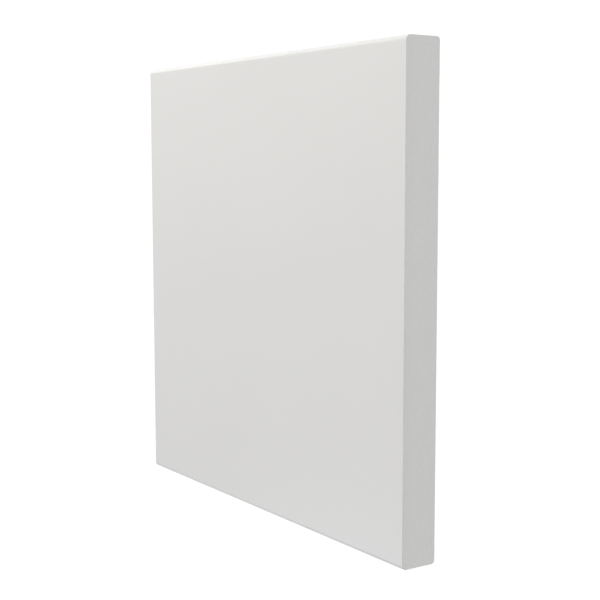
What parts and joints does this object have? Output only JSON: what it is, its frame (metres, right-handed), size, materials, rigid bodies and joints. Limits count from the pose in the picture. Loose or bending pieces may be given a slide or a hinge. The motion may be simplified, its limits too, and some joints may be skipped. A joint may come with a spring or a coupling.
{
  "type": "fascia board",
  "caption": "Flat square-edge fascia board: a short sawn piece of extruded cellular plastic with softly rounded long edges, for covering rafter ends at the eaves.",
  "frame": {"origin": "middle of the back face, which lies on the floor", "axes": "+X along the extruded length, towards the sawn end that the picture shows; +Y across the width, towards the edge that is uppermost in the picture; +Z out of the show face"},
  "size_m": [0.225, 0.225, 0.018],
  "materials": {
    "cellular_plastic": "satin, smooth extruded skin, fine cell grain on the sawn ends"
  },
  "bodies": {
    "root": {"fascia_board": "cellular_plastic"}
  },
  "joints": []
}
